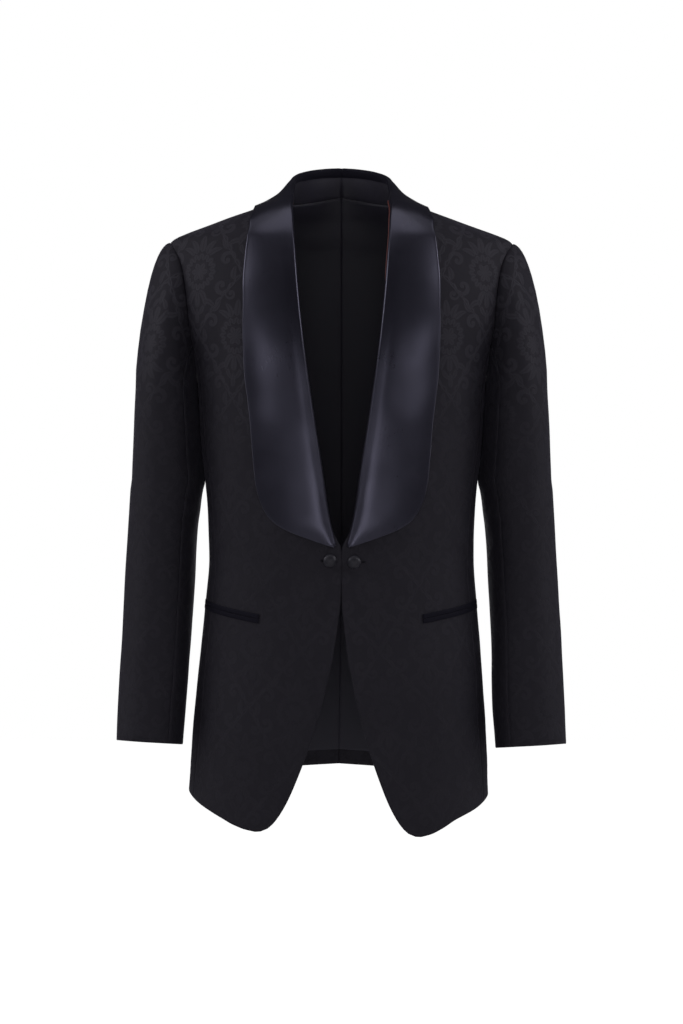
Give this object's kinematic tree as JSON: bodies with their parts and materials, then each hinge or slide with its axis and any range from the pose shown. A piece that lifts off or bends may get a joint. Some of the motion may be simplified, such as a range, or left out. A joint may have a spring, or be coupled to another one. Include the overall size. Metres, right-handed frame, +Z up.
{
  "type": "dinner jacket",
  "caption": "Hollow, filled-out dinner jacket with satin shawl collar, linked front, jetted pockets and cutaway skirts, held at the nape.",
  "frame": {"origin": "the nape: inside of the cloth where the centre back seam meets the neckline", "axes": "+Z up, the front faces -Y, the wearer's left at +X"},
  "size_m": [0.569, 0.2406, 0.8513],
  "materials": {
    "cloth": "tonal scrolling jacquard, dry with a faint sheen on the motifs",
    "satin": "midnight blue satin",
    "lining": "smooth twill lining",
    "piping": "corded piping",
    "thread": "bound thread"
  },
  "bodies": {
    "root": {"front_left": "cloth", "side_body_left": "cloth", "back_left": "cloth", "top_sleeve_left": "cloth", "under_sleeve_left": "cloth", "shawl_collar_left": "satin", "pocket_jet_upper_left": "satin", "pocket_jet_lower_left": "satin", "button_left": "satin", "piping_left": "piping", "back_lining_left": "lining", "front_right": "cloth", "side_body_right": "cloth", "back_right": "cloth", "top_sleeve_right": "cloth", "under_sleeve_right": "cloth", "shawl_collar_right": "satin", "pocket_jet_upper_right": "satin", "pocket_jet_lower_right": "satin", "button_right": "satin", "piping_right": "piping", "back_lining_right": "lining", "link_thread": "thread"}
  },
  "joints": []
}
